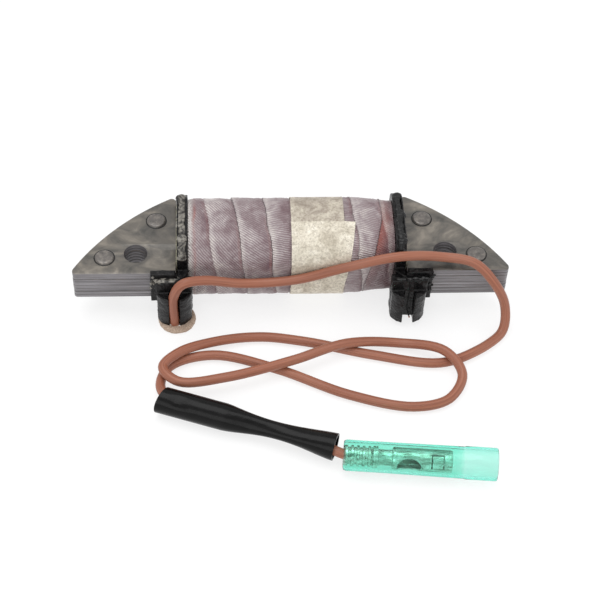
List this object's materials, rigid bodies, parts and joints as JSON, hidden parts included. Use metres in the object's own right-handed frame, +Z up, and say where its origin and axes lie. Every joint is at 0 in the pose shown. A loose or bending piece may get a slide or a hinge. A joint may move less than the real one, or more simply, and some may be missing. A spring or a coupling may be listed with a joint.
{
  "type": "ignition coil",
  "caption": "Stator ignition coil: laminated steel core with curved pole shoes, taped bobbin winding, and a brown lead ending in a black sleeve and a green bullet connector.",
  "frame": {"origin": "bottom centre of the coil's own bounding box, on the table, without its lead", "axes": "+X along the core towards the end the lead passes over, +Y from the lead side to the curved pole faces, +Z up"},
  "size_m": [0.0988, 0.0716, 0.0199],
  "materials": {
    "core_steel": "varnished",
    "rivet_steel": "satin",
    "bobbin_plastic": "varnished",
    "paper": "matte",
    "copper": "enamelled",
    "cloth": "varnished",
    "tape": "matte",
    "solder": "satin",
    "potting": "grainy",
    "resin": "gloss",
    "lead_cover": "satin",
    "black_sleeve": "gloss",
    "terminal_brass": "tinned",
    "green_sleeve": "clear green"
  },
  "bodies": {
    "coil": {"lamination_1": "core_steel", "lamination_2": "core_steel", "lamination_3": "core_steel", "lamination_4": "core_steel", "lamination_5": "core_steel", "lamination_6": "core_steel", "lamination_7": "core_steel", "lamination_8": "core_steel", "core_rivets": "rivet_steel", "bobbin_front": "bobbin_plastic", "bobbin_rear": "bobbin_plastic", "paper_left": "paper", "paper_right": "paper", "copper_winding": "copper", "layer_insulation": "paper", "cloth_wrap": "cloth", "tape_band": "tape", "start_wire": "copper", "finish_wire": "copper", "solder_joint": "solder", "potting_disc": "potting", "resin_left": "resin", "resin_right": "resin", "lead": "lead_cover", "lead_conductor": "copper", "lead_sleeve": "black_sleeve", "bullet_terminal": "terminal_brass"},
    "connector_cover": {"connector_sleeve": "green_sleeve"}
  },
  "joints": [
    {"name": "connector_sleeve_slide", "type": "slide", "parent": "coil", "child": "connector_cover", "axis": [0.9954, -0.0958, 0], "range_m": [-0.0006, 0.006]}
  ]
}
